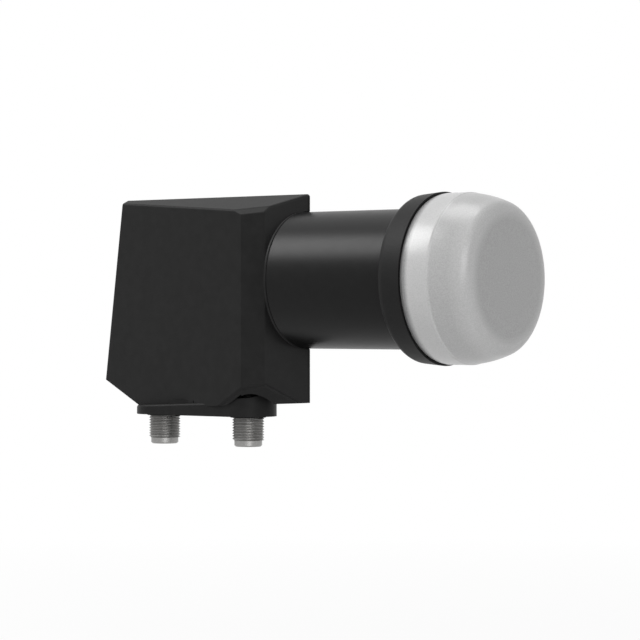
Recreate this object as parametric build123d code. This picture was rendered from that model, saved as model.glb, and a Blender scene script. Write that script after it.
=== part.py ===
from build123d import *
import math
import os

# Twin-output satellite LNB with a 40 mm clamp neck, two F outputs and a domed feed cap.
# Millimetres. X runs along the neck towards the cap, Z is up, the housing is symmetric about Y = 0.
# The origin lies on the neck axis, midway along the clamp length.

# Neck
neck_diameter = 40.0
neck_length = 40.4
neck_wall = 1.8
spigot_step = 0.8

# Collar in front of the neck
collar_step = 3.75
collar_flare = 0.75
collar_length = 8.2
collar_round = 2.6
collar_wall = 1.9
collar_web = 1.6

# Feed cap: insets from the collar's rim and distances along from it
cap_rim_inset = 0.6
cap_band_rise = 0.25
cap_band_length = 9.4
cap_crease = 0.25
cap_shoulder_inset = 2.4
cap_shoulder = 18.0
cap_shoulder_bow = 0.3
cap_front_inset = 3.7
cap_length = 20.6
cap_dome = 0.45
cap_wall = 1.5
cap_skirt_length = 4.0
cap_skirt_wall = 1.0

# Housing, seen from above: distances back from the prow and half widths
prow_reach = 1.1
cheek_depth = 9.6
cheek_half = 9.6
shoulder_depth = 17.3
shoulder_half = 10.9
tail_depth = 79.4
tail_half = 1.0

# Housing, seen from the side: heights from the neck axis
ridge_height = 25.35
roof_pitch = 23.75
back_top_depth = 70.45
back_lean = 8.25
rim_drop = 35.9
rim_tilt = 2.48
heel_drop = 30.05
heel_pitch = 25.8
shell_wall = 1.8
edge_round = 0.9
eave_facet = 1.2

# Slanted relief at the two lower front corners
relief_reach = 1.6
relief_rise = 6.15
relief_side_depth = 27.5
relief_rim = 0.6
relief_step = 0.38

# Open recess under the housing, which the connector base plugs into
recess_wall = 1.0
recess_depth = 5.15
recess_front_depth = 18.2
recess_front_radius = 9.4
floor_thickness = 1.5

# Round bulkhead between the housing and the neck
lip_gap = 0.35
lip_length = 0.65
lip_chamfer = 0.2
bulkhead_depth = 3.4
bulkhead_root_diameter = 28.0
cup_depth = 0.8

# Connector base
base_half_width = 8.5
front_output_depth = 23.0
output_pitch = 32.3
base_height = 4.4
base_floor = 0.95
base_kerb = 1.0
base_edge_round = 0.8
port_ring_diameter = 10.6
port_ring_height = 0.4
plug_height = 2.0
boss_drop = 2.9
boss_pitch = 17.7
tower_wall = 0.6
tab_length = 8.6
tab_height = 1.0
tab_thickness = 0.7
tab_depth = 42.5
tab_notch = 1.1

# F connectors
thread_diameter = 9.5
thread_length = 6.75
shank_diameter = 8.6
tip_diameter = 8.3
tip_length = 1.9
tip_chamfer = 0.4
flange_diameter = 11.6
flange_thickness = 0.6
stem_diameter = 6.0
stem_gap = 1.0
socket_diameter = 6.7
socket_recess = 0.7
stem_bore_diameter = 3.2
contact_diameter = 1.0
contact_recess = 2.2

# Horn casting
waveguide_diameter = 17.5
waveguide_wall = 2.0
backshort_wall = 2.2
rear_disc = 3.2
flare_start = 22.0
mouth_wall = 1.5
mouth_flange = 3.7
choke_depth = 2.4
choke_width = 1.6
choke_wall = 1.2

# Round seals
seal_section = 1.1

# Circuit board
board_thickness = 1.0
board_front_depth = 9.1
board_rear_depth = 59.0
board_top = 15.5
board_lift = 1.2
tongue_length = 20.0
tongue_height = 15.0

# Screening cans
shield_wall = 0.4
shield_depth = 3.8
shield_front_depth = 15.5
shield_length = 27.0
shield_top = 12.0
shield_height = 32.0
shield_corner = 1.5

# Wire probe and the bodies on the board
probe_diameter = 0.8
probe_length = 7.0
probe_inset = 4.0
chip_size = 7.0
switch_size = 5.0
chip_height = 0.9
crystal_length = 3.2
crystal_width = 2.5
transistor_length = 2.0
transistor_width = 1.3
transistor_pitch = 6.0
transistor_depth = 12.0
inductor_length = 3.2
inductor_height = 1.8
inductor_lift = 3.0
regulator_length = 6.5
regulator_width = 3.5
regulator_height = 1.6
regulator_gap = 3.25

# Clearances
slide_gap = 0.2
plug_gap = 0.3
seal_gap = 0.05
bore_gap = 0.05

# Values worked out from the driving dimensions
neck_radius = neck_diameter / 2
bore_radius = neck_radius - neck_wall
spigot_radius = neck_radius - spigot_step
casting_radius = bore_radius - slide_gap
collar_rear_radius = neck_radius + collar_step
collar_rim_radius = collar_rear_radius + collar_flare
collar_bore_radius = collar_rim_radius - collar_wall
skirt_radius = collar_bore_radius - slide_gap
mouth_flange_radius = skirt_radius - cap_skirt_wall - slide_gap
x_lip = -neck_length / 2
x_cup = x_lip - cup_depth
x_ring = x_lip - lip_gap
x_step = neck_length / 2
x_rim = x_step + collar_length
x_mouth_flange = x_step + collar_web + slide_gap
x_casting = x_cup + slide_gap
x_prow = x_lip + prow_reach
x_front_output = x_prow - front_output_depth
x_rear_output = x_front_output - output_pitch
x_board = x_prow - board_front_depth
x_tongue = x_board + tongue_length
z_ceiling = recess_depth - rim_drop
z_floor = z_ceiling + floor_thickness
z_board = z_floor + board_lift
z_stem = z_ceiling - stem_gap
z_base = -rim_drop - base_height
z_flange = z_base + base_floor
z_port = z_base - port_ring_height
z_thread = z_port - thread_length
z_tip = z_thread - tip_length
side_taper = (shoulder_half - tail_half) / (tail_depth - shoulder_depth)
x_tab = x_prow - tab_depth
far = 300.0


def turned(points):
    """Solid of revolution about the neck axis from a closed outline of (x, radius) points."""
    return revolve(make_face(Polyline(*points, close=True)), Axis.X, 360)


def disc(radius, x, length):
    """Plain cylinder along the neck axis."""
    return Pos(x, 0, 0) * extrude(Plane.YZ * Circle(radius), length)


def rod(radius, z_low, z_high, x):
    """Upright cylinder on the housing's centre plane."""
    return Pos(x, 0, z_low) * extrude(Circle(radius), z_high - z_low)


def obround(z_low, z_high):
    """Upright prism round both outputs, with half-round ends."""
    outline = SlotCenterToCenter(output_pitch, 2 * base_half_width)
    middle = (x_front_output + x_rear_output) / 2
    return Pos(middle, 0, z_low) * extrude(outline, z_high - z_low)


def slab(x, y, z):
    """Very large block with its low corner at the given point, which keeps or cuts a half space."""
    return Pos(x, y, z) * Box(far, far, far, align=Align.MIN)


def rim_height(x):
    """Height of the housing's lower rim, which falls towards the back."""
    return -rim_drop + (x - x_prow) * math.tan(math.radians(rim_tilt))


def half_width(depth):
    """Half width of the housing's long side face at a distance back from the prow."""
    return shoulder_half - side_taper * (depth - shoulder_depth)


def below(x, z, pitch):
    """Half space under a plane through (x, z) that rises towards the front by pitch degrees."""
    block = Pos(0, 0, -far / 2) * Box(far, far, far)
    return Pos(x, 0, z) * Rot(0, -pitch, 0) * block


def housing_plan(inset=0.0):
    """Kite outline of the housing from above, set in by a wall."""
    side = [
        (x_prow, 0),
        (x_prow - cheek_depth, cheek_half),
        (x_prow - shoulder_depth, shoulder_half),
        (x_prow - tail_depth, tail_half),
    ]
    other_side = [(x, -y) for x, y in reversed(side[1:])]
    outline = make_face(Polyline(*side, *other_side, close=True))
    if inset:
        outline = offset(outline, -inset, kind=Kind.INTERSECTION)
    return outline


def side_outline(inset=0.0):
    """Outline of the housing from the side: leaning back, heel cut and tilted rim."""
    lean = math.tan(math.radians(back_lean))
    heel_slope = math.tan(math.radians(heel_pitch))
    rim_slope = math.tan(math.radians(rim_tilt))
    x_back = x_prow - back_top_depth + inset
    x_heel = x_back - lean * (ridge_height + heel_drop)
    z_heel = inset - heel_drop
    x_foot = (x_heel * heel_slope + z_heel + rim_drop + x_prow * rim_slope) / (heel_slope + rim_slope)
    corners = [
        (far, rim_height(far)),
        (far, far),
        (x_back + lean * (far - ridge_height), far),
        (x_heel, z_heel),
        (x_foot, rim_height(x_foot)),
    ]
    return make_face(Plane.XZ * Polyline(*corners, close=True))


def roof_outline(inset=0.0):
    """Outline of the housing along the neck: a ridge with two falling slopes."""
    pitch = math.radians(roof_pitch)
    peak = ridge_height - inset / math.cos(pitch)
    eave = peak - far * math.tan(pitch)
    corners = [(-far, -far), (far, -far), (far, eave), (0, peak), (-far, eave)]
    return make_face(Plane.YZ * Polyline(*corners, close=True))


def housing_block(inset=0.0):
    """Solid of the housing's plan, side and roof outlines, or of its inside at a wall's depth."""
    upright = Pos(0, 0, -far) * extrude(housing_plan(inset), 2 * far)
    sideways = extrude(side_outline(inset), far, both=True)
    lengthways = extrude(roof_outline(inset), far, both=True)
    return upright & sideways & lengthways


def eave(side):
    """Half space over the facet between the roof and one cheek strip; side is -1 or 1."""
    slope = math.tan(math.radians(roof_pitch))
    x_cheek = x_prow - cheek_depth
    x_shoulder = x_prow - shoulder_depth
    inner = cheek_half - eave_facet
    cheek = Vector(x_cheek, side * cheek_half, ridge_height - cheek_half * slope - eave_facet)
    shoulder = Vector(x_shoulder, side * shoulder_half, ridge_height - shoulder_half * slope - eave_facet)
    roof = Vector(x_cheek, side * inner, ridge_height - inner * slope)
    normal = (shoulder - cheek).cross(roof - cheek).normalized()
    if normal.Z < 0:
        normal = -normal
    return extrude(Plane(cheek, z_dir=normal) * Rectangle(far, far), far)


def relief(side, step=0.0):
    """Half space under the slanted relief at one lower front corner, or a step below it; side is -1 or 1."""
    x_side = x_prow - relief_side_depth
    low_front = Vector(x_prow - relief_reach, side * relief_reach, rim_height(x_prow))
    corner = Vector(x_prow - cheek_depth, side * cheek_half, rim_height(x_prow) + relief_rise)
    low_side = Vector(x_side, side * half_width(relief_side_depth), rim_height(x_side))
    normal = (corner - low_front).cross(low_side - low_front).normalized()
    if normal.Z > 0:
        normal = -normal
    return extrude(Plane(low_front + normal * step, z_dir=normal) * Rectangle(far, far), far)


def toe():
    """Corner that is cut off the lower end of the prow, to leave it rounded."""
    x_round = x_prow - edge_round
    z_rim = rim_height(x_round)
    corner = Pos(x_prow, z_rim) * Rectangle(2 * edge_round, 2 * edge_round)
    corner -= Pos(x_round, z_rim + edge_round) * Circle(edge_round)
    return extrude(Plane.XZ * corner, far, both=True)


def housing_form():
    """Outer form of the housing with rounded edges and stepped corner reliefs, before it is hollowed."""
    form = housing_block() - eave(-1) - eave(1)
    form = fillet(form.edges().filter_by(lambda edge: edge.center().Z > -heel_drop), edge_round)
    core = housing_block(relief_rim)
    for side in (-1, 1):
        form -= relief(side, relief_step)
        form -= relief(side) - core
    return form - toe()


def bulkhead():
    """Dished round plate that carries the neck, with a lip flush with the neck behind a fine gap."""
    lip = neck_radius
    return turned([
        (x_ring, 0), (x_ring, lip - lip_chamfer), (x_ring - lip_chamfer, lip), (x_ring - lip_length, lip),
        (x_lip - bulkhead_depth, bulkhead_root_diameter / 2), (x_lip - bulkhead_depth, 0)])


def recess_plan(gap=0.0):
    """Outline of the open recess under the housing, with a round front end."""
    x_centre = x_prow - recess_front_depth
    rear = Pos(x_centre - far / 2, 0) * Rectangle(far, far)
    front = Pos(x_centre, 0) * Circle(recess_front_radius - gap)
    return housing_plan(recess_wall + gap) & (rear + front)


def housing_shells():
    """Both half shells of the housing, split on the centre plane."""
    whole = housing_form() + bulkhead()
    chamber = housing_block(shell_wall) & slab(-far / 2, -far / 2, z_floor)
    whole -= chamber - disc(neck_radius, x_lip - bulkhead_depth, far)
    whole -= Pos(0, 0, z_ceiling - far) * extrude(recess_plan(), far)
    whole -= disc(neck_radius + slide_gap, x_ring, far)
    whole -= disc(spigot_radius + slide_gap, x_cup, far)
    whole -= tab_notches()
    whole -= Pos(x_lip, 0, 0) * Box(
        3 * bulkhead_depth, board_thickness + 2 * slide_gap, tongue_height + 2 * slide_gap)
    for x in (x_front_output, x_rear_output):
        whole -= rod(contact_diameter / 2 + plug_gap, z_ceiling, z_floor, x)
    left = whole & slab(-far / 2, -far, -far / 2)
    right = whole & slab(-far / 2, 0, -far / 2)
    return left, right


def at_tabs(shape):
    """Two copies of a shape, turned to the side faces where the snap tabs stand."""
    lie = math.degrees(math.atan(side_taper))
    places = [Pos(x_tab, side * half_width(tab_depth), 0) * Rot(0, 0, -side * lie) for side in (-1, 1)]
    return places[0] * shape + places[1] * shape


def tab_notches():
    """Short slots through the rim at both ends of the snap tabs."""
    notch = Pos(0, 0, z_tab - far) * extrude(Rectangle(tab_notch, 3 * recess_wall), far)
    reach = (tab_length + tab_notch) / 2
    return at_tabs(Pos(reach, 0, 0) * notch + Pos(-reach, 0, 0) * notch)


def connector_base():
    """Bottom cap: an obround tray under the housing, with a plug inside the recess."""
    tray = obround(z_base, 0) & below(x_prow, rim_height(x_prow) + base_kerb, rim_tilt)
    tray = fillet(tray.faces().sort_by(Axis.Z)[-1].edges(), base_edge_round)
    tab = Pos(0, 0, z_flange) * extrude(Rectangle(tab_length, 2 * tab_thickness), z_tab - z_flange)
    tray += at_tabs(tab)
    tray -= housing_block()
    plug = obround(z_flange, 0) & Pos(0, 0, z_flange) * extrude(recess_plan(plug_gap), far)
    low_plug = plug & below(x_prow, rim_height(x_prow) + plug_height, rim_tilt)
    boss = plug & below(x_front_output + base_half_width, z_ceiling - boss_drop, boss_pitch)
    base = tray + low_plug + boss
    for x in (x_front_output, x_rear_output):
        base += rod(port_ring_diameter / 2, z_port, z_base, x)
        base += rod(stem_diameter / 2 + tower_wall, z_flange, z_ceiling - plug_gap, x)
        base -= rod(shank_diameter / 2 + bore_gap, z_port, z_flange, x)
        base -= rod(flange_diameter / 2 + bore_gap, z_flange, z_flange + flange_thickness, x)
        base -= rod(stem_diameter / 2 + bore_gap, z_flange, 0, x)
    return base


def connector(x):
    """F connector body: smooth tip, threaded barrel, shank, moulded-in flange and slim stem."""
    tip = rod(tip_diameter / 2, z_tip, z_thread, x)
    body = chamfer(tip.edges().sort_by(Axis.Z)[0], tip_chamfer)
    body += rod(thread_diameter / 2, z_thread, z_port, x)
    body += rod(shank_diameter / 2, z_port, z_flange, x)
    body += rod(flange_diameter / 2, z_flange, z_flange + flange_thickness, x)
    body += rod(stem_diameter / 2, z_flange, z_stem, x)
    body -= rod(socket_diameter / 2, z_tip, z_flange, x)
    body -= rod(stem_bore_diameter / 2, z_flange, z_stem, x)
    return body


def insulator(x):
    """Stepped dielectric that fills the connector's socket and stem."""
    plastic = rod(socket_diameter / 2 - bore_gap, z_tip + socket_recess, z_flange, x)
    plastic += rod(stem_bore_diameter / 2 - bore_gap, z_flange, z_stem, x)
    plastic -= rod(contact_diameter / 2 + bore_gap, z_tip, z_stem, x)
    return plastic


def contact(x):
    """Centre contact from inside the socket up to the board's lower edge."""
    return rod(contact_diameter / 2, z_tip + contact_recess, z_board, x)


def neck_sleeve():
    """Plain clamp tube from the collar to the bulkhead, with a spigot that sits in its cup."""
    return turned([
        (x_cup, bore_radius), (x_cup, spigot_radius), (x_lip, spigot_radius), (x_lip, neck_radius),
        (x_step, neck_radius), (x_step, bore_radius)])


def horn_collar():
    """Cup-shaped ring that steps out from the neck to the cap's rim."""
    x_web = x_step + collar_web
    blank = turned([
        (x_step, bore_radius), (x_step, collar_rear_radius), (x_rim, collar_rim_radius),
        (x_rim, collar_bore_radius), (x_web, collar_bore_radius), (x_web, bore_radius)])
    rear_face = blank.faces().sort_by(Axis.X)[0]
    return fillet(rear_face.edges().sort_by(lambda edge: edge.radius)[-1], collar_round)


def cap_form(inset):
    """Solid of the cap's outer form, or of its inside at a wall's depth."""
    rim = collar_rim_radius - cap_rim_inset - inset
    band = rim + cap_band_rise
    x_band = x_rim + cap_band_length
    start = (x_band, band - cap_crease)
    end = (x_rim + cap_shoulder - inset, band - cap_shoulder_inset)
    bow = ((start[0] + end[0]) / 2, (start[1] + end[1]) / 2 + cap_shoulder_bow)
    front = (x_rim + cap_length - inset, end[1] - cap_front_inset)
    peak = (front[0] + cap_dome, 0)
    ball = (front[1] ** 2 + cap_dome ** 2) / (2 * cap_dome)
    halfway = (peak[0] - ball + math.sqrt(ball ** 2 - front[1] ** 2 / 4), front[1] / 2)
    rise = Polyline((x_rim, 0), (x_rim, rim), (x_rim + cap_band_rise, band), (x_band, band), start)
    side = ThreePointArc(start, bow, end)
    shoulder = TangentArc(end, front, tangent=side % 1)
    face = ThreePointArc(front, halfway, peak)
    base = Line(peak, (x_rim, 0))
    return revolve(make_face([*rise.edges(), side, shoulder, face, base]), Axis.X, 360)


def feed_cap():
    """Hollow domed cap with a rim band, a bowed side and a skirt that snaps into the collar."""
    root = collar_rim_radius - cap_rim_inset - cap_wall / 2
    inner = skirt_radius - cap_skirt_wall
    x_end = x_rim - cap_skirt_length
    x_root = x_rim + cap_wall
    skirt = turned([
        (x_end, inner), (x_end, skirt_radius), (x_rim, skirt_radius), (x_rim, root), (x_root, root),
        (x_root, inner)])
    return cap_form(0.0) - cap_form(cap_wall) + skirt


def seal_groove(radius, x):
    """Ring-shaped groove that holds a round seal."""
    half = seal_section / 2 + seal_gap
    floor = radius - seal_section
    top = radius + seal_section
    return turned([(x - half, floor), (x - half, top), (x + half, top), (x + half, floor)])


def seal_ring(radius, x):
    """Round seal in its groove, which stands proud by most of the sliding gap."""
    centre = radius - seal_section / 2 + slide_gap - seal_gap
    return revolve(Pos(x, centre) * Circle(seal_section / 2), Axis.X, 360)


def horn_casting():
    """Die-cast feed: closed round waveguide, conical horn and mouth flange with a choke groove."""
    wave = waveguide_diameter / 2
    tube = wave + waveguide_wall
    mouth = casting_radius - mouth_wall
    x_disc = x_casting + rear_disc
    x_short = x_casting + backshort_wall
    x_flare = x_lip + flare_start
    x_mouth = x_mouth_flange + mouth_flange
    casting = turned([
        (x_casting, 0), (x_casting, casting_radius), (x_disc, casting_radius), (x_disc, tube),
        (x_flare, tube), (x_step, casting_radius), (x_mouth_flange, casting_radius),
        (x_mouth_flange, mouth_flange_radius), (x_mouth, mouth_flange_radius), (x_mouth, mouth),
        (x_mouth_flange, mouth), (x_flare, wave), (x_short, wave), (x_short, 0)])
    choke = mouth + choke_wall
    x_choke = x_mouth - choke_depth
    casting -= turned([
        (x_choke, choke), (x_mouth, choke), (x_mouth, choke + choke_width), (x_choke, choke + choke_width)])
    casting -= seal_groove(mouth_flange_radius, x_mouth_flange + mouth_flange / 2)
    casting -= seal_groove(casting_radius, x_casting + rear_disc / 2)
    return casting - Pos(x_casting, 0, 0) * Box(
        3 * backshort_wall, board_thickness + 2 * slide_gap, tongue_height + 2 * slide_gap)


def circuit_board():
    """Upright board on the centre plane, with a tongue that reaches into the waveguide."""
    x_rear = x_prow - board_rear_depth
    half = tongue_height / 2
    outline = [
        (x_rear, z_board), (x_board, z_board), (x_board, -half), (x_tongue, -half),
        (x_tongue, half), (x_board, half), (x_board, board_top), (x_rear, board_top)]
    face = make_face(Plane.XZ * Polyline(*outline, close=True))
    hole = Cylinder(probe_diameter / 2 + bore_gap, 2 * board_thickness, rotation=(90, 0, 0))
    return extrude(face, board_thickness / 2, both=True) - Pos(x_tongue - probe_inset, 0, 0) * hole


def cross_probe():
    """Wire probe that stands square to the board inside the waveguide."""
    wire = Cylinder(probe_diameter / 2, probe_length, rotation=(90, 0, 0))
    return Pos(x_tongue - probe_inset, board_thickness - probe_length / 2, 0) * wire


def on_board(x, z, side, length, height, thickness):
    """Component body that lies on one face of the board, with its outer edges eased."""
    y = side * (board_thickness + thickness) / 2
    body = Pos(x, y, z) * Box(length, thickness, height)
    outer = body.faces().sort_by(Axis.Y)[0 if side < 0 else -1]
    return chamfer(outer.edges(), thickness / 6)


def input_transistors():
    """Pair of input transistors by the root of the tongue."""
    x = x_prow - transistor_depth
    upper = on_board(x, transistor_pitch / 2, -1, transistor_width, transistor_length, chip_height)
    lower = on_board(x, -transistor_pitch / 2, -1, transistor_width, transistor_length, chip_height)
    return Compound([upper.solid(), lower.solid()])


def output_inductors():
    """One feed inductor above each output."""
    z = z_board + inductor_lift
    front = on_board(x_front_output, z, 1, inductor_length, inductor_length, inductor_height)
    rear = on_board(x_rear_output, z, 1, inductor_length, inductor_length, inductor_height)
    return Compound([front.solid(), rear.solid()])


def shield(side):
    """Drawn screening can over one face of the board."""
    can = Pos(x_shield, side * (board_thickness + shield_depth) / 2, z_shield) * Box(
        shield_length, shield_depth, shield_height)
    can = fillet(can.edges().filter_by(Axis.Y), shield_corner)
    y_hollow = side * (board_thickness + shield_depth - shield_wall) / 2
    hollow = Pos(x_shield, y_hollow, z_shield) * Box(
        shield_length - 2 * shield_wall, shield_depth - shield_wall, shield_height - 2 * shield_wall)
    return can - fillet(hollow.edges().filter_by(Axis.Y), shield_corner - shield_wall)


x_shield = x_prow - shield_front_depth - shield_length / 2
z_shield = shield_top - shield_height / 2
x_chip = x_shield + shield_length / 4
x_crystal = x_shield - shield_length / 4
x_regulator = x_shield - shield_length / 2 - regulator_gap - regulator_length / 2
z_tab = rim_height(x_tab) + base_kerb + tab_height
left_shell, right_shell = housing_shells()

nodes = {
    "left_shell": left_shell,
    "right_shell": right_shell,
    "connector_base": connector_base(),
    "neck_sleeve": neck_sleeve(),
    "horn_collar": horn_collar(),
    "feed_cap": feed_cap(),
    "horn_casting": horn_casting(),
    "cap_seal": seal_ring(mouth_flange_radius, x_mouth_flange + mouth_flange / 2),
    "neck_seal": seal_ring(casting_radius, x_casting + rear_disc / 2),
    "front_connector": connector(x_front_output),
    "rear_connector": connector(x_rear_output),
    "front_insulator": insulator(x_front_output),
    "rear_insulator": insulator(x_rear_output),
    "front_contact": contact(x_front_output),
    "rear_contact": contact(x_rear_output),
    "circuit_board": circuit_board(),
    "cross_probe": cross_probe(),
    "input_transistors": input_transistors(),
    "left_shield": shield(-1),
    "right_shield": shield(1),
    "converter_chip": on_board(x_chip, z_shield, -1, chip_size, chip_size, chip_height),
    "oscillator_crystal": on_board(x_crystal, z_shield, -1, crystal_length, crystal_width, chip_height),
    "output_switch": on_board(x_shield, z_shield, 1, switch_size, switch_size, chip_height),
    "voltage_regulator": on_board(
        x_regulator, z_shield, -1, regulator_length, regulator_width, regulator_height),
    "output_inductors": output_inductors(),
}

os.makedirs("parts", exist_ok=True)
for name, solid in nodes.items():
    export_step(solid, f"parts/{name}.step")
    print(f"{name}: {solid.volume:.1f} mm3")
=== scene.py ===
# %% [markdown]
# A satellite LNB sits at the focus of a dish. It has a slim black housing, a round neck that a clamp
# grips, a textured collar and a pale cap over the feed horn. Two threaded outputs point down.
# The measured parts come in first as a fixed frame, in metres. Everything made here is set against them.

import math

import bpy
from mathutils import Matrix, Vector


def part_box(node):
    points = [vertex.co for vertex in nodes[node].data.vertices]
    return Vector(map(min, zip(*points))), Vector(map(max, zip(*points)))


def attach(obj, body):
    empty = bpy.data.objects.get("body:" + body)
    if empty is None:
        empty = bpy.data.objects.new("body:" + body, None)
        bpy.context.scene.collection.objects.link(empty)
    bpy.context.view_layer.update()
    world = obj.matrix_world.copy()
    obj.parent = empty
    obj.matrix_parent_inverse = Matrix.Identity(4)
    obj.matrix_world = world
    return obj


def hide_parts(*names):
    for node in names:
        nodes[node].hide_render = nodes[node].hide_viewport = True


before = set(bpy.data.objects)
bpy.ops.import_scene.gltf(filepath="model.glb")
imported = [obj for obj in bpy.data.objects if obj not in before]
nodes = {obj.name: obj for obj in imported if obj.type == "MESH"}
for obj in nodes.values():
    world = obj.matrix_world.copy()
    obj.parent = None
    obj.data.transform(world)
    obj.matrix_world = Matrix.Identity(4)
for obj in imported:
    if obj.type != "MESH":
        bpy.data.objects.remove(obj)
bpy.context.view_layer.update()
mm = 0.001

# %% [markdown]
# Most shapes here are turned on a lathe, so their sizes are radii and places along the neck axis, X.
# They are read from the boxes of the measured parts, so a change there carries over to the looks.
# The origin lies midway along the neck, so its two ends are the same distance away.

# %% Read the main sizes
_, neck_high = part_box("neck_sleeve")
collar_low, collar_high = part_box("horn_collar")
cap_low, cap_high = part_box("feed_cap")
x_lip = -collar_low.x
x_rim = collar_high.x
x_peak = cap_high.x
neck_radius = neck_high.z
collar_radius = collar_high.z
band_radius = cap_high.z
print("radii of neck, collar and cap", [round(r / mm, 2) for r in (neck_radius, collar_radius, band_radius)])

# %% [markdown]
# The camera stands level with the housing, a long way off, turned 36 degrees from square on.
# A long lens keeps the far end of the housing nearly as large as the near end, as in a product shot.

# %% Set up the camera
view_azimuth = math.radians(36)
view_distance = 700 * mm
view_right = 3.69 * mm
view_height = -10.15 * mm
lens_length = 134.4
film_width = 36
picture_width = 640
picture_shift = -5
towards = Vector((math.sin(view_azimuth), -math.cos(view_azimuth), 0))
rightwards = Vector((math.cos(view_azimuth), math.sin(view_azimuth), 0))
bpy.ops.object.camera_add(
    location=Vector((x_lip, 0, view_height)) + towards * view_distance + rightwards * view_right,
    rotation=(math.radians(90), 0, view_azimuth))
camera = bpy.context.object
camera.data.lens = lens_length
camera.data.sensor_width = film_width
camera.data.shift_y = picture_shift / picture_width
camera.data.clip_start = 10 * mm
bpy.context.scene.camera = camera
bpy.context.scene.view_settings.view_transform = "Standard"
print("camera", [round(v, 3) for v in camera.location])

# %% [markdown]
# A finish starts as a Principled shader. Fine noise on Object coordinates drives its colour and roughness
# and a shallow bump, because moulded plastic is never quite even, and the grain keeps its real size.
# Nearly all values of the noise lie between 0.3 and 0.7, so that span is what gets mapped.

# %% Helpers for the finishes
noise_low = 0.3
noise_high = 0.7


def new_finish(name, colour, roughness, metallic=0.0):
    """Material with a Principled shader at its plain values."""
    finish = bpy.data.materials.new(name)
    finish.use_nodes = True
    shader = finish.node_tree.nodes["Principled BSDF"]
    shader.inputs["Base Color"].default_value = (*colour, 1)
    shader.inputs["Roughness"].default_value = roughness
    shader.inputs["Metallic"].default_value = metallic
    return finish, shader


def noise(finish, size, detail=3.0):
    """Noise texture on Object coordinates whose grains are about size metres across."""
    tree = finish.node_tree
    place = tree.nodes.new("ShaderNodeTexCoord")
    texture = tree.nodes.new("ShaderNodeTexNoise")
    texture.inputs["Scale"].default_value = 1 / size
    texture.inputs["Detail"].default_value = detail
    tree.links.new(place.outputs["Object"], texture.inputs["Vector"])
    return texture.outputs["Fac"]


def spread(finish, source, low, high, start=noise_low, end=noise_high):
    """Map Range node that turns a value between start and end into one between low and high."""
    node = finish.node_tree.nodes.new("ShaderNodeMapRange")
    node.inputs["From Min"].default_value = start
    node.inputs["From Max"].default_value = end
    node.inputs["To Min"].default_value = low
    node.inputs["To Max"].default_value = high
    finish.node_tree.links.new(source, node.inputs["Value"])
    return node.outputs["Result"]


def combined(tree, operation, first, second):
    """Math node that combines two values."""
    node = tree.nodes.new("ShaderNodeMath")
    node.operation = operation
    tree.links.new(first, node.inputs[0])
    tree.links.new(second, node.inputs[1])
    return node.outputs["Value"]


def tint(finish, shader, source, dark, light):
    """Base colour that wanders between two tones with the noise."""
    ramp = finish.node_tree.nodes.new("ShaderNodeValToRGB")
    first, last = ramp.color_ramp.elements
    first.position = noise_low
    last.position = noise_high
    first.color = (*dark, 1)
    last.color = (*light, 1)
    finish.node_tree.links.new(source, ramp.inputs["Fac"])
    finish.node_tree.links.new(ramp.outputs["Color"], shader.inputs["Base Color"])


def grain(finish, shader, source, depth):
    """Bump of a given depth in metres."""
    bump = finish.node_tree.nodes.new("ShaderNodeBump")
    bump.inputs["Distance"].default_value = depth
    bump.inputs["Strength"].default_value = 1.0
    finish.node_tree.links.new(source, bump.inputs["Height"])
    finish.node_tree.links.new(bump.outputs["Normal"], shader.inputs["Normal"])


def roughen(finish, shader, source, low, high):
    """Roughness that wanders between two values with the noise."""
    finish.node_tree.links.new(spread(finish, source, low, high), shader.inputs["Roughness"])


def grey(tone):
    """Neutral colour of one linear tone."""
    return (tone, tone, tone)


print("finish helpers ready")

# %% [markdown]
# The housing and its base are black moulded plastic with a satin face. The neck is smoother and takes a
# sharper highlight. The collar is duller, with a fine grain that breaks up the light. All three are nearly
# black, because what the eye sees on black plastic is mostly what it reflects. Tone and roughness wander
# in patches, each about a dozen grains across.

# %% Black mouldings
grains_per_patch = 12
roughness_wander = 0.015


def black_moulding(name, tone, roughness, shine, grain_size, grain_depth):
    """Black plastic with a fine moulded grain."""
    finish, shader = new_finish(name, grey(tone), roughness)
    shader.inputs["Specular IOR Level"].default_value = shine
    patches = noise(finish, grain_size * grains_per_patch)
    grains = noise(finish, grain_size)
    tint(finish, shader, patches, grey(tone * 0.9), grey(tone * 1.12))
    roughen(finish, shader, patches, roughness - roughness_wander, roughness + roughness_wander)
    grain(finish, shader, grains, grain_depth)
    return finish


housing_black = black_moulding(
    "housing_black", tone=0.012, roughness=0.42, shine=0.08, grain_size=0.25 * mm, grain_depth=0.004 * mm)
neck_black = black_moulding(
    "neck_black", tone=0.004, roughness=0.35, shine=0.15, grain_size=0.2 * mm, grain_depth=0.002 * mm)
collar_black = black_moulding(
    "collar_black", tone=0.007, roughness=0.5, shine=0.13, grain_size=0.35 * mm, grain_depth=0.05 * mm)
print("black mouldings ready")
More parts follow.
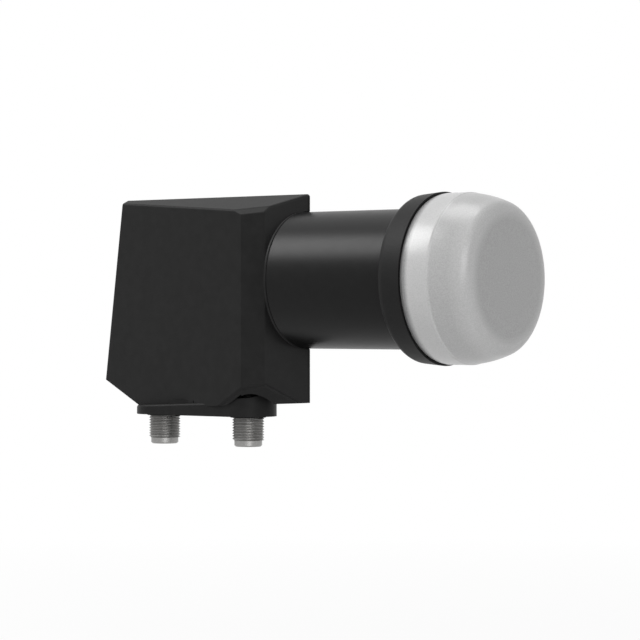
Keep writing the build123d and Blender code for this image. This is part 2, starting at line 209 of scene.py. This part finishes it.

# %% [markdown]
# The cap is a pale, faintly speckled plastic that lets a little light into its skin. Painted shade and light
# follow its form: painted shade at the rim by the collar, painted light on the band, painted shade on the
# side and on the disc in front, and painted light round the soft corner. The cap is round, so these steps
# depend only on the place along X and the distance from the axis. Both can be read from Object coordinates,
# and each step is added to the speckle.

# %% The cap's finish
def pale_cap():
    """Pale grey plastic with a fine speckle, a little depth, and painted shade and light that follow the
    cap's form.
    """
    finish, shader = new_finish("pale_cap", grey(0.4), 0.3)
    tree = finish.node_tree
    speckle = noise(finish, 0.35 * mm, detail=2.0)
    place = tree.nodes.new("ShaderNodeTexCoord")
    across = tree.nodes.new("ShaderNodeVectorMath")
    across.operation = "MULTIPLY"
    across.inputs[1].default_value = (0, 1, 1)
    radius = tree.nodes.new("ShaderNodeVectorMath")
    radius.operation = "LENGTH"
    along = tree.nodes.new("ShaderNodeSeparateXYZ")
    tree.links.new(place.outputs["Object"], across.inputs[0])
    tree.links.new(across.outputs["Vector"], radius.inputs[0])
    tree.links.new(place.outputs["Object"], along.inputs["Vector"])

    # Painted shade and light: the disc, rim and side are darkened, and the band and corner lightened, as
    # light falls on the cap.
    painted_disc_shade_corner_light = spread(finish, radius.outputs["Value"], -0.1, 0.04, 16.2 * mm, 18.8 * mm)
    painted_corner_light = spread(finish, along.outputs["X"], 0, 0.08, x_rim + 14.5 * mm, x_rim + 18 * mm)
    painted_rim_shade_band_light = spread(finish, along.outputs["X"], -0.25, 0.1, x_rim + 1.5 * mm, x_rim + 2.7 * mm)
    painted_side_shade = spread(finish, along.outputs["X"], 0, -0.11, x_rim + 9.2 * mm, x_rim + 9.6 * mm)
    tone = spread(finish, speckle, 0.47, 0.59)
    for step in (painted_disc_shade_corner_light, painted_corner_light, painted_rim_shade_band_light, painted_side_shade):
        tone = combined(tree, "ADD", tone, step)
    tint(finish, shader, tone, grey(0.19), grey(0.445))
    grain(finish, shader, speckle, 0.012 * mm)
    shader.inputs["Subsurface Weight"].default_value = 0.15
    shader.inputs["Subsurface Radius"].default_value = (1, 1, 1)
    shader.inputs["Subsurface Scale"].default_value = 0.8 * mm
    return finish


cap_grey = pale_cap()
print("cap finish", len(cap_grey.node_tree.nodes), "nodes")

# %% [markdown]
# The connectors are turned brass with a dull nickel plate. Metal shows mostly what it mirrors, so its tone
# and roughness wander only a little, and the thread itself gives the surface its life.

# %% Nickel
def nickel_plate():
    """Dull nickel on the turned connectors."""
    finish, shader = new_finish("nickel_plate", (0.29, 0.287, 0.28), 0.34, metallic=1.0)
    wander = noise(finish, 0.6 * mm)
    tint(finish, shader, wander, (0.265, 0.262, 0.256), (0.315, 0.312, 0.306))
    roughen(finish, shader, wander, 0.3, 0.38)
    return finish


nickel = nickel_plate()
print("nickel ready")

# %% [markdown]
# The inner parts can't be seen from outside, but the model may be opened or cut, so each has the finish
# of the real thing: cast aluminium, rubber, green board, tinned cans, white plastic, gold and black resin.

# %% Inner finishes
def inner_finish(name, dark, light, roughness, size, depth, metallic=0.0):
    """Finish whose tone and grain wander at one size."""
    finish, shader = new_finish(name, dark, roughness, metallic)
    wander = noise(finish, size)
    tint(finish, shader, wander, dark, light)
    roughen(finish, shader, wander, roughness - 0.05, roughness + 0.05)
    grain(finish, shader, wander, depth)
    return finish


cast_metal = inner_finish(
    "cast_metal", grey(0.5), grey(0.62), roughness=0.5, size=0.5 * mm, depth=0.02 * mm, metallic=1.0)
seal_rubber = inner_finish(
    "seal_rubber", grey(0.015), grey(0.025), roughness=0.7, size=0.2 * mm, depth=0.01 * mm)
board_green = inner_finish(
    "board_green", (0.015, 0.11, 0.035), (0.03, 0.18, 0.06), roughness=0.35, size=2 * mm, depth=0.005 * mm)
tinned_steel = inner_finish(
    "tinned_steel", grey(0.5), grey(0.65), roughness=0.3, size=1.5 * mm, depth=0.004 * mm, metallic=1.0)
white_insulator = inner_finish(
    "white_insulator", grey(0.55), grey(0.65), roughness=0.5, size=0.5 * mm, depth=0.004 * mm)
gold_contact = inner_finish(
    "gold_contact", (0.6, 0.42, 0.14), (0.75, 0.55, 0.2), roughness=0.3, size=0.3 * mm, depth=0.002 * mm,
    metallic=1.0)
black_resin = inner_finish(
    "black_resin", grey(0.015), grey(0.024), roughness=0.6, size=0.2 * mm, depth=0.006 * mm)
print("inner finishes ready")

# %% [markdown]
# Each measured part gets one finish in place of the plain one that it came with.

# %% Paint the measured parts
finishes = {
    "left_shell": housing_black, "right_shell": housing_black, "connector_base": housing_black,
    "neck_sleeve": neck_black, "horn_collar": collar_black, "feed_cap": cap_grey,
    "front_connector": nickel, "rear_connector": nickel,
    "horn_casting": cast_metal, "cap_seal": seal_rubber, "neck_seal": seal_rubber,
    "circuit_board": board_green, "left_shield": tinned_steel, "right_shield": tinned_steel,
    "oscillator_crystal": tinned_steel, "front_insulator": white_insulator,
    "rear_insulator": white_insulator, "front_contact": gold_contact, "rear_contact": gold_contact,
    "cross_probe": gold_contact, "input_transistors": black_resin, "converter_chip": black_resin,
    "output_switch": black_resin, "voltage_regulator": black_resin, "output_inductors": black_resin,
}
for name, finish in finishes.items():
    nodes[name].data.materials.clear()
    nodes[name].data.materials.append(finish)
print(len(finishes), "parts painted")

# %% [markdown]
# Round pieces are made as on a lathe. A profile starts as one vertex, a plane merged to its middle, and
# Extrude draws it from point to point. Spin then turns it about its axis, and merging the doubles closes
# the seam. Curves in the profile are short steps along an arc, given by its centre or by three points.

# %% Helpers for turned pieces
merge_distance = 0.002 * mm
smooth_angle = math.radians(32)


def arc(centre, radius, start, end, count):
    """Points on an arc between two angles, in degrees, its first point left out."""
    angles = [math.radians(start + (end - start) * i / count) for i in range(1, count + 1)]
    return [(centre[0] + radius * math.cos(a), centre[1] + radius * math.sin(a)) for a in angles]


def arc_through(start, middle, end, count):
    """Points on the arc through three points, its first point left out."""
    (ax, ay), (bx, by), (cx, cy) = start, middle, end
    d = 2 * (ax * (by - cy) + bx * (cy - ay) + cx * (ay - by))
    a2, b2, c2 = ax * ax + ay * ay, bx * bx + by * by, cx * cx + cy * cy
    centre = ((a2 * (by - cy) + b2 * (cy - ay) + c2 * (ay - by)) / d,
              (a2 * (cx - bx) + b2 * (ax - cx) + c2 * (bx - ax)) / d)
    first = math.degrees(math.atan2(ay - centre[1], ax - centre[0]))
    last = math.degrees(math.atan2(cy - centre[1], cx - centre[0]))
    last = first + (last - first + 180) % 360 - 180
    return arc(centre, math.hypot(ax - centre[0], ay - centre[1]), first, last, count)


def draw(name, start, steps):
    """New piece in edit mode that holds one line of edges, from a start and the steps that follow it."""
    bpy.ops.object.select_all(action="DESELECT")
    bpy.ops.mesh.primitive_plane_add(size=mm, location=(0, 0, 0))
    piece = bpy.context.object
    piece.name = name
    piece.data.name = name
    bpy.ops.object.mode_set(mode="EDIT")
    bpy.ops.mesh.select_all(action="SELECT")
    bpy.ops.mesh.merge(type="CENTER")
    bpy.ops.transform.translate(value=start)
    for step in steps:
        bpy.ops.mesh.extrude_region_move(TRANSFORM_OT_translate={"value": step})
    return piece


def turn(name, profile, axis, steps):
    """Piece spun about an axis through the origin, from points along the axis and out from it."""
    along = Vector(axis)
    out = Vector((0, 0, 1)) if along.x else Vector((1, 0, 0))
    points = [along * a + out * r for a, r in profile]
    piece = draw(name, points[0], [after - before for before, after in zip(points, points[1:])])
    bpy.ops.mesh.select_all(action="SELECT")
    bpy.ops.mesh.spin(steps=steps, angle=math.tau, center=(0, 0, 0), axis=axis)
    bpy.ops.mesh.select_all(action="SELECT")
    bpy.ops.mesh.remove_doubles(threshold=merge_distance)
    bpy.ops.mesh.normals_make_consistent(inside=False)
    bpy.ops.object.mode_set(mode="OBJECT")
    return piece


def finish_piece(piece, finish, node):
    """Shading, finish and bookkeeping of a piece that stands for a measured part."""
    bpy.ops.object.select_all(action="DESELECT")
    piece.select_set(True)
    bpy.context.view_layer.objects.active = piece
    bpy.ops.object.shade_smooth_by_angle(angle=smooth_angle)
    piece.data.materials.clear()
    piece.data.materials.append(finish)
    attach(piece, "root")
    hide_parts(node)
    print(piece.name, len(piece.data.polygons), "faces")


print("turning helpers ready")

# %% [markdown]
# The cap is a thin moulded dome over the mouth of the horn. Its profile runs from the middle of the front
# round the soft corner, down the bowed side, over the rounded band and into the collar, then back inside.
# It follows the measured cap and adds the small round at the edge of the band.

# %% Draw the cap's profile
cap_wall = 1.5 * mm
band_round = 0.8 * mm
rim_round = 6 * mm
rim_drop = 0.9 * mm
skirt_wall = 1 * mm
skirt_radius = collar_radius - 2.1 * mm
crease = (x_rim + 9.4 * mm, band_radius - 0.25 * mm)
corner_start = (x_rim + 18 * mm, band_radius - 2.4 * mm)
corner_bow = (x_rim + 19.854 * mm, corner_start[1] - 1.461 * mm)
corner_end = (x_peak - 0.45 * mm, corner_start[1] - 3.7 * mm)
side_bow = ((crease[0] + corner_start[0]) / 2, (crease[1] + corner_start[1]) / 2 + 0.3 * mm)
front_bow = (x_peak - 0.113 * mm, corner_end[1] / 2)

profile = [(x_peak, 0)]
profile += arc_through((x_peak, 0), front_bow, corner_end, 10)
profile += arc_through(corner_end, corner_bow, corner_start, 14)
profile += arc_through(corner_start, side_bow, crease, 14)
profile += arc((crease[0] - band_round, band_radius - band_round), band_round, 40, 90, 6)
profile += arc((x_rim + 2.4 * mm, band_radius - rim_round), rim_round, 90, 113, 6)
profile += [
    (x_rim, band_radius - rim_drop),
    (x_rim, skirt_radius),
    (cap_low.x, skirt_radius),
    (cap_low.x, skirt_radius - skirt_wall),
    (x_rim + cap_wall, skirt_radius - skirt_wall),
    (crease[0], crease[1] - cap_wall),
    (corner_start[0] - cap_wall / 2, corner_start[1] - cap_wall),
    (corner_end[0] - cap_wall, corner_end[1] - cap_wall / 2),
    (x_peak - cap_wall, 0),
]
print("cap profile of", len(profile), "points")

# %% [markdown]
# The profile starts and ends on the axis, so spinning it gives a closed skin with a pole at both ends.

# %% Turn the cap
cap_dome = turn("cap_dome", profile, (1, 0, 0), 160)
finish_piece(cap_dome, cap_grey, "feed_cap")

# %% [markdown]
# Each output is a turned brass barrel with a 3/8-32 thread, a smooth tip and a socket with white plastic
# inside. The thread is one V-shaped profile, as tall as its pitch, that a Screw modifier winds up into a
# helix. Merging the doubles joins its turns into one skin, and two cuts trim the skin to length.

# %% Wind the thread
port_low, port_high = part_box("front_connector")
port_x = (port_low.x + port_high.x) / 2
thread_radius = 4.75 * mm
thread_pitch = 25.4 / 32 * mm
thread_depth = 0.42 * mm
thread_turns = 12
round_steps = 72
cut_threshold = 0.0001 * mm
z_tip = port_low.z
z_thread = z_tip + 1.9 * mm
z_port = z_thread + 6.75 * mm


def wound_thread(name):
    """Threaded skin on the Z axis, cut to the barrel's length and open at both ends."""
    flank, crest, root = 0.4 * thread_pitch, 0.125 * thread_pitch, 0.075 * thread_pitch
    skin = draw(name, (thread_radius - thread_depth, 0, z_thread - 1.5 * thread_pitch), [
        (thread_depth, 0, flank), (0, 0, crest), (-thread_depth, 0, flank), (0, 0, root)])
    bpy.ops.object.mode_set(mode="OBJECT")
    winding = skin.modifiers.new("winding", "SCREW")
    winding.axis = "Z"
    winding.angle = math.tau
    winding.screw_offset = thread_pitch
    winding.iterations = thread_turns
    winding.steps = round_steps
    winding.render_steps = round_steps
    bpy.ops.object.modifier_apply(modifier="winding")
    bpy.ops.object.mode_set(mode="EDIT")
    bpy.ops.mesh.select_all(action="SELECT")
    bpy.ops.mesh.remove_doubles(threshold=merge_distance)
    for height, side in ((z_thread, -1), (z_port, 1)):
        bpy.ops.mesh.select_all(action="SELECT")
        bpy.ops.mesh.bisect(
            plane_co=(0, 0, height), plane_no=(0, 0, side), clear_outer=True, threshold=cut_threshold)
    bpy.ops.object.mode_set(mode="OBJECT")
    return skin


front_output = wound_thread("front_output")
print("thread", len(front_output.data.polygons), "faces")

# %% [markdown]
# The rest of the output is a stepped tube, spun from one open profile: from the lower end of the thread
# round the tip, up the socket, round the flange inside the housing and back to the upper end of the thread.
# Its ends stop a little short of the thread's own, so that the ring between them will slope.

# %% Turn the barrel
run_out = 0.1 * mm
tip_radius = 4.15 * mm
tip_chamfer = 0.4 * mm
socket_radius = 3.35 * mm
hole_radius = 1.6 * mm
stub_radius = 3 * mm
shank_radius = 4.3 * mm
flange_radius = 5.8 * mm
z_flange = z_port + 1.35 * mm
z_flange_top = z_flange + 0.6 * mm
barrel = turn("barrel", [
    (z_thread - run_out, tip_radius),
    (z_tip + tip_chamfer, tip_radius),
    (z_tip, tip_radius - tip_chamfer),
    (z_tip, socket_radius),
    (z_flange, socket_radius),
    (z_flange, hole_radius),
    (port_high.z, hole_radius),
    (port_high.z, stub_radius),
    (z_flange_top, stub_radius),
    (z_flange_top, flange_radius),
    (z_flange, flange_radius),
    (z_flange, shank_radius),
    (z_port + run_out, shank_radius),
], (0, 0, 1), round_steps)
print("barrel", len(barrel.data.polygons), "faces")

# %% [markdown]
# Thread and barrel are joined into one object. At each end Bridge Edge Loops closes the narrow ring between
# them, so the output is one skin. The rings slope a little, because the bridge can pair two loops wrongly
# when they lie in one plane.

# %% Close the output
def bridge_ring(piece, height):
    """Closes the narrow ring between the two open edges of a piece about one height."""
    bpy.ops.object.mode_set(mode="EDIT")
    bpy.ops.mesh.select_mode(type="EDGE")
    bpy.ops.mesh.select_all(action="DESELECT")
    bpy.ops.mesh.select_non_manifold(
        use_wire=False, use_multi_face=False, use_non_contiguous=False, use_verts=False)
    bpy.ops.object.mode_set(mode="OBJECT")
    points = piece.data.vertices
    for point in points:
        point.select = point.select and abs(point.co.z - height) < 1.5 * run_out
    for edge in piece.data.edges:
        edge.select = edge.select and all(points[i].select for i in edge.vertices)
    print("ring of", sum(edge.select for edge in piece.data.edges), "edges")
    bpy.ops.object.mode_set(mode="EDIT")
    bpy.ops.mesh.bridge_edge_loops()
    bpy.ops.object.mode_set(mode="OBJECT")


bpy.ops.object.select_all(action="DESELECT")
barrel.select_set(True)
front_output.select_set(True)
bpy.context.view_layer.objects.active = front_output
bpy.ops.object.join()
bridge_ring(front_output, z_thread)
bridge_ring(front_output, z_port)
bpy.ops.object.mode_set(mode="EDIT")
bpy.ops.mesh.select_all(action="SELECT")
bpy.ops.mesh.normals_make_consistent(inside=False)
bpy.ops.transform.translate(value=(port_x, 0, 0))
bpy.ops.object.mode_set(mode="OBJECT")
finish_piece(front_output, nickel, "front_connector")

# %% [markdown]
# The rear output is the same part, so it is a copy with its own mesh, moved along the housing in edit mode.

# %% Copy the output
rear_low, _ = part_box("rear_connector")
bpy.ops.object.duplicate()
rear_output = bpy.context.object
rear_output.name = "rear_output"
rear_output.data.name = "rear_output"
bpy.ops.object.mode_set(mode="EDIT")
bpy.ops.mesh.select_all(action="SELECT")
bpy.ops.transform.translate(value=(rear_low.x - port_low.x, 0, 0))
bpy.ops.object.mode_set(mode="OBJECT")
finish_piece(rear_output, nickel, "rear_connector")

# %% [markdown]
# The object hangs over a white floor, as in a picture for a catalogue. Floor and sky look white to the camera
# and to rays that come off a glossy face or through glass, so that the metal shows the same white room.
# To all other rays they are dimmer, so that the white adds no light to the object, and the floor still
# takes its soft shadow. The Light Path node tells these kinds of ray apart.

# %% Floor
floor_size = 60
floor_height = -0.13
shadow_start = 0.1
shadow_end = 0.6
bpy.ops.object.select_all(action="DESELECT")
bpy.ops.mesh.primitive_plane_add(size=floor_size, location=(0, 0, floor_height))
floor = bpy.context.object
floor.name = "floor"


def seen(tree):
    """One for a ray that shows the background: from the camera, off a glossy face or through glass."""
    ray = tree.nodes.new("ShaderNodeLightPath").outputs
    mirrored = combined(tree, "MAXIMUM", ray["Is Glossy Ray"], ray["Is Transmission Ray"])
    return combined(tree, "MAXIMUM", ray["Is Camera Ray"], mirrored)


def white_floor():
    """Pale floor that looks white, apart from the soft shadow near the object."""
    finish, shader = new_finish("floor_white", grey(0.8), 0.9)
    tree = finish.node_tree
    place = tree.nodes.new("ShaderNodeTexCoord")
    span = tree.nodes.new("ShaderNodeVectorMath")
    span.operation = "LENGTH"
    tree.links.new(place.outputs["Object"], span.inputs[0])
    white_share = spread(finish, span.outputs["Value"], 0.8, 1.0, shadow_start, shadow_end)
    glow = tree.nodes.new("ShaderNodeEmission")
    mix = tree.nodes.new("ShaderNodeMixShader")
    tree.links.new(combined(tree, "MULTIPLY", seen(tree), white_share), mix.inputs["Fac"])
    tree.links.new(shader.outputs["BSDF"], mix.inputs[1])
    tree.links.new(glow.outputs["Emission"], mix.inputs[2])
    tree.links.new(mix.outputs["Shader"], tree.nodes["Material Output"].inputs["Surface"])
    return finish


floor.data.materials.append(white_floor())
print("floor at", floor_height)

# %% [markdown]
# The sky works the same way: full white where it is seen, and a dim, even fill where it only gives light.

# %% Sky
sky_fill = 0.3
sky_white = 1.0
world = bpy.context.scene.world or bpy.data.worlds.new("sky")
bpy.context.scene.world = world
world.use_nodes = True
sky = world.node_tree
sky.nodes["Background"].inputs["Color"].default_value = (1, 1, 1, 1)
room = sky.nodes.new("ShaderNodeMapRange")
room.inputs["To Min"].default_value = sky_fill
room.inputs["To Max"].default_value = sky_white
sky.links.new(seen(sky), room.inputs["Value"])
sky.links.new(room.outputs["Result"], sky.nodes["Background"].inputs["Strength"])
print("sky from", sky_fill, "to", sky_white)

# %% [markdown]
# Three soft lamps do the rest. One high on the left draws the bright band along the neck and the spot on
# the cap. One overhead lights the roof and the top of the cap. A wide one to the right of the camera fills
# the front. They are large for their distance, because a large lamp gives a highlight soft edges.

# %% Lamps
def soft_lamp(name, direction, distance, size, power):
    """Square lamp that looks at the object from a direction."""
    place = Vector(direction).normalized() * distance
    bpy.ops.object.light_add(type="AREA", location=place)
    lamp = bpy.context.object
    lamp.name = name
    lamp.data.size = size
    lamp.data.energy = power
    lamp.rotation_euler = (-place).to_track_quat("-Z", "Y").to_euler()
    print(name, [round(v, 2) for v in place])


soft_lamp("left_lamp", (-0.59, -0.44, 0.67), distance=1.0, size=0.45, power=6.2)
soft_lamp("top_lamp", (-0.18, 0.1, 0.97), distance=1.0, size=0.45, power=3)
soft_lamp("camera_lamp", (0.6, -0.6, 0.3), distance=1.3, size=0.9, power=9)

# %% [markdown]

# %% Finish
print("scene built")
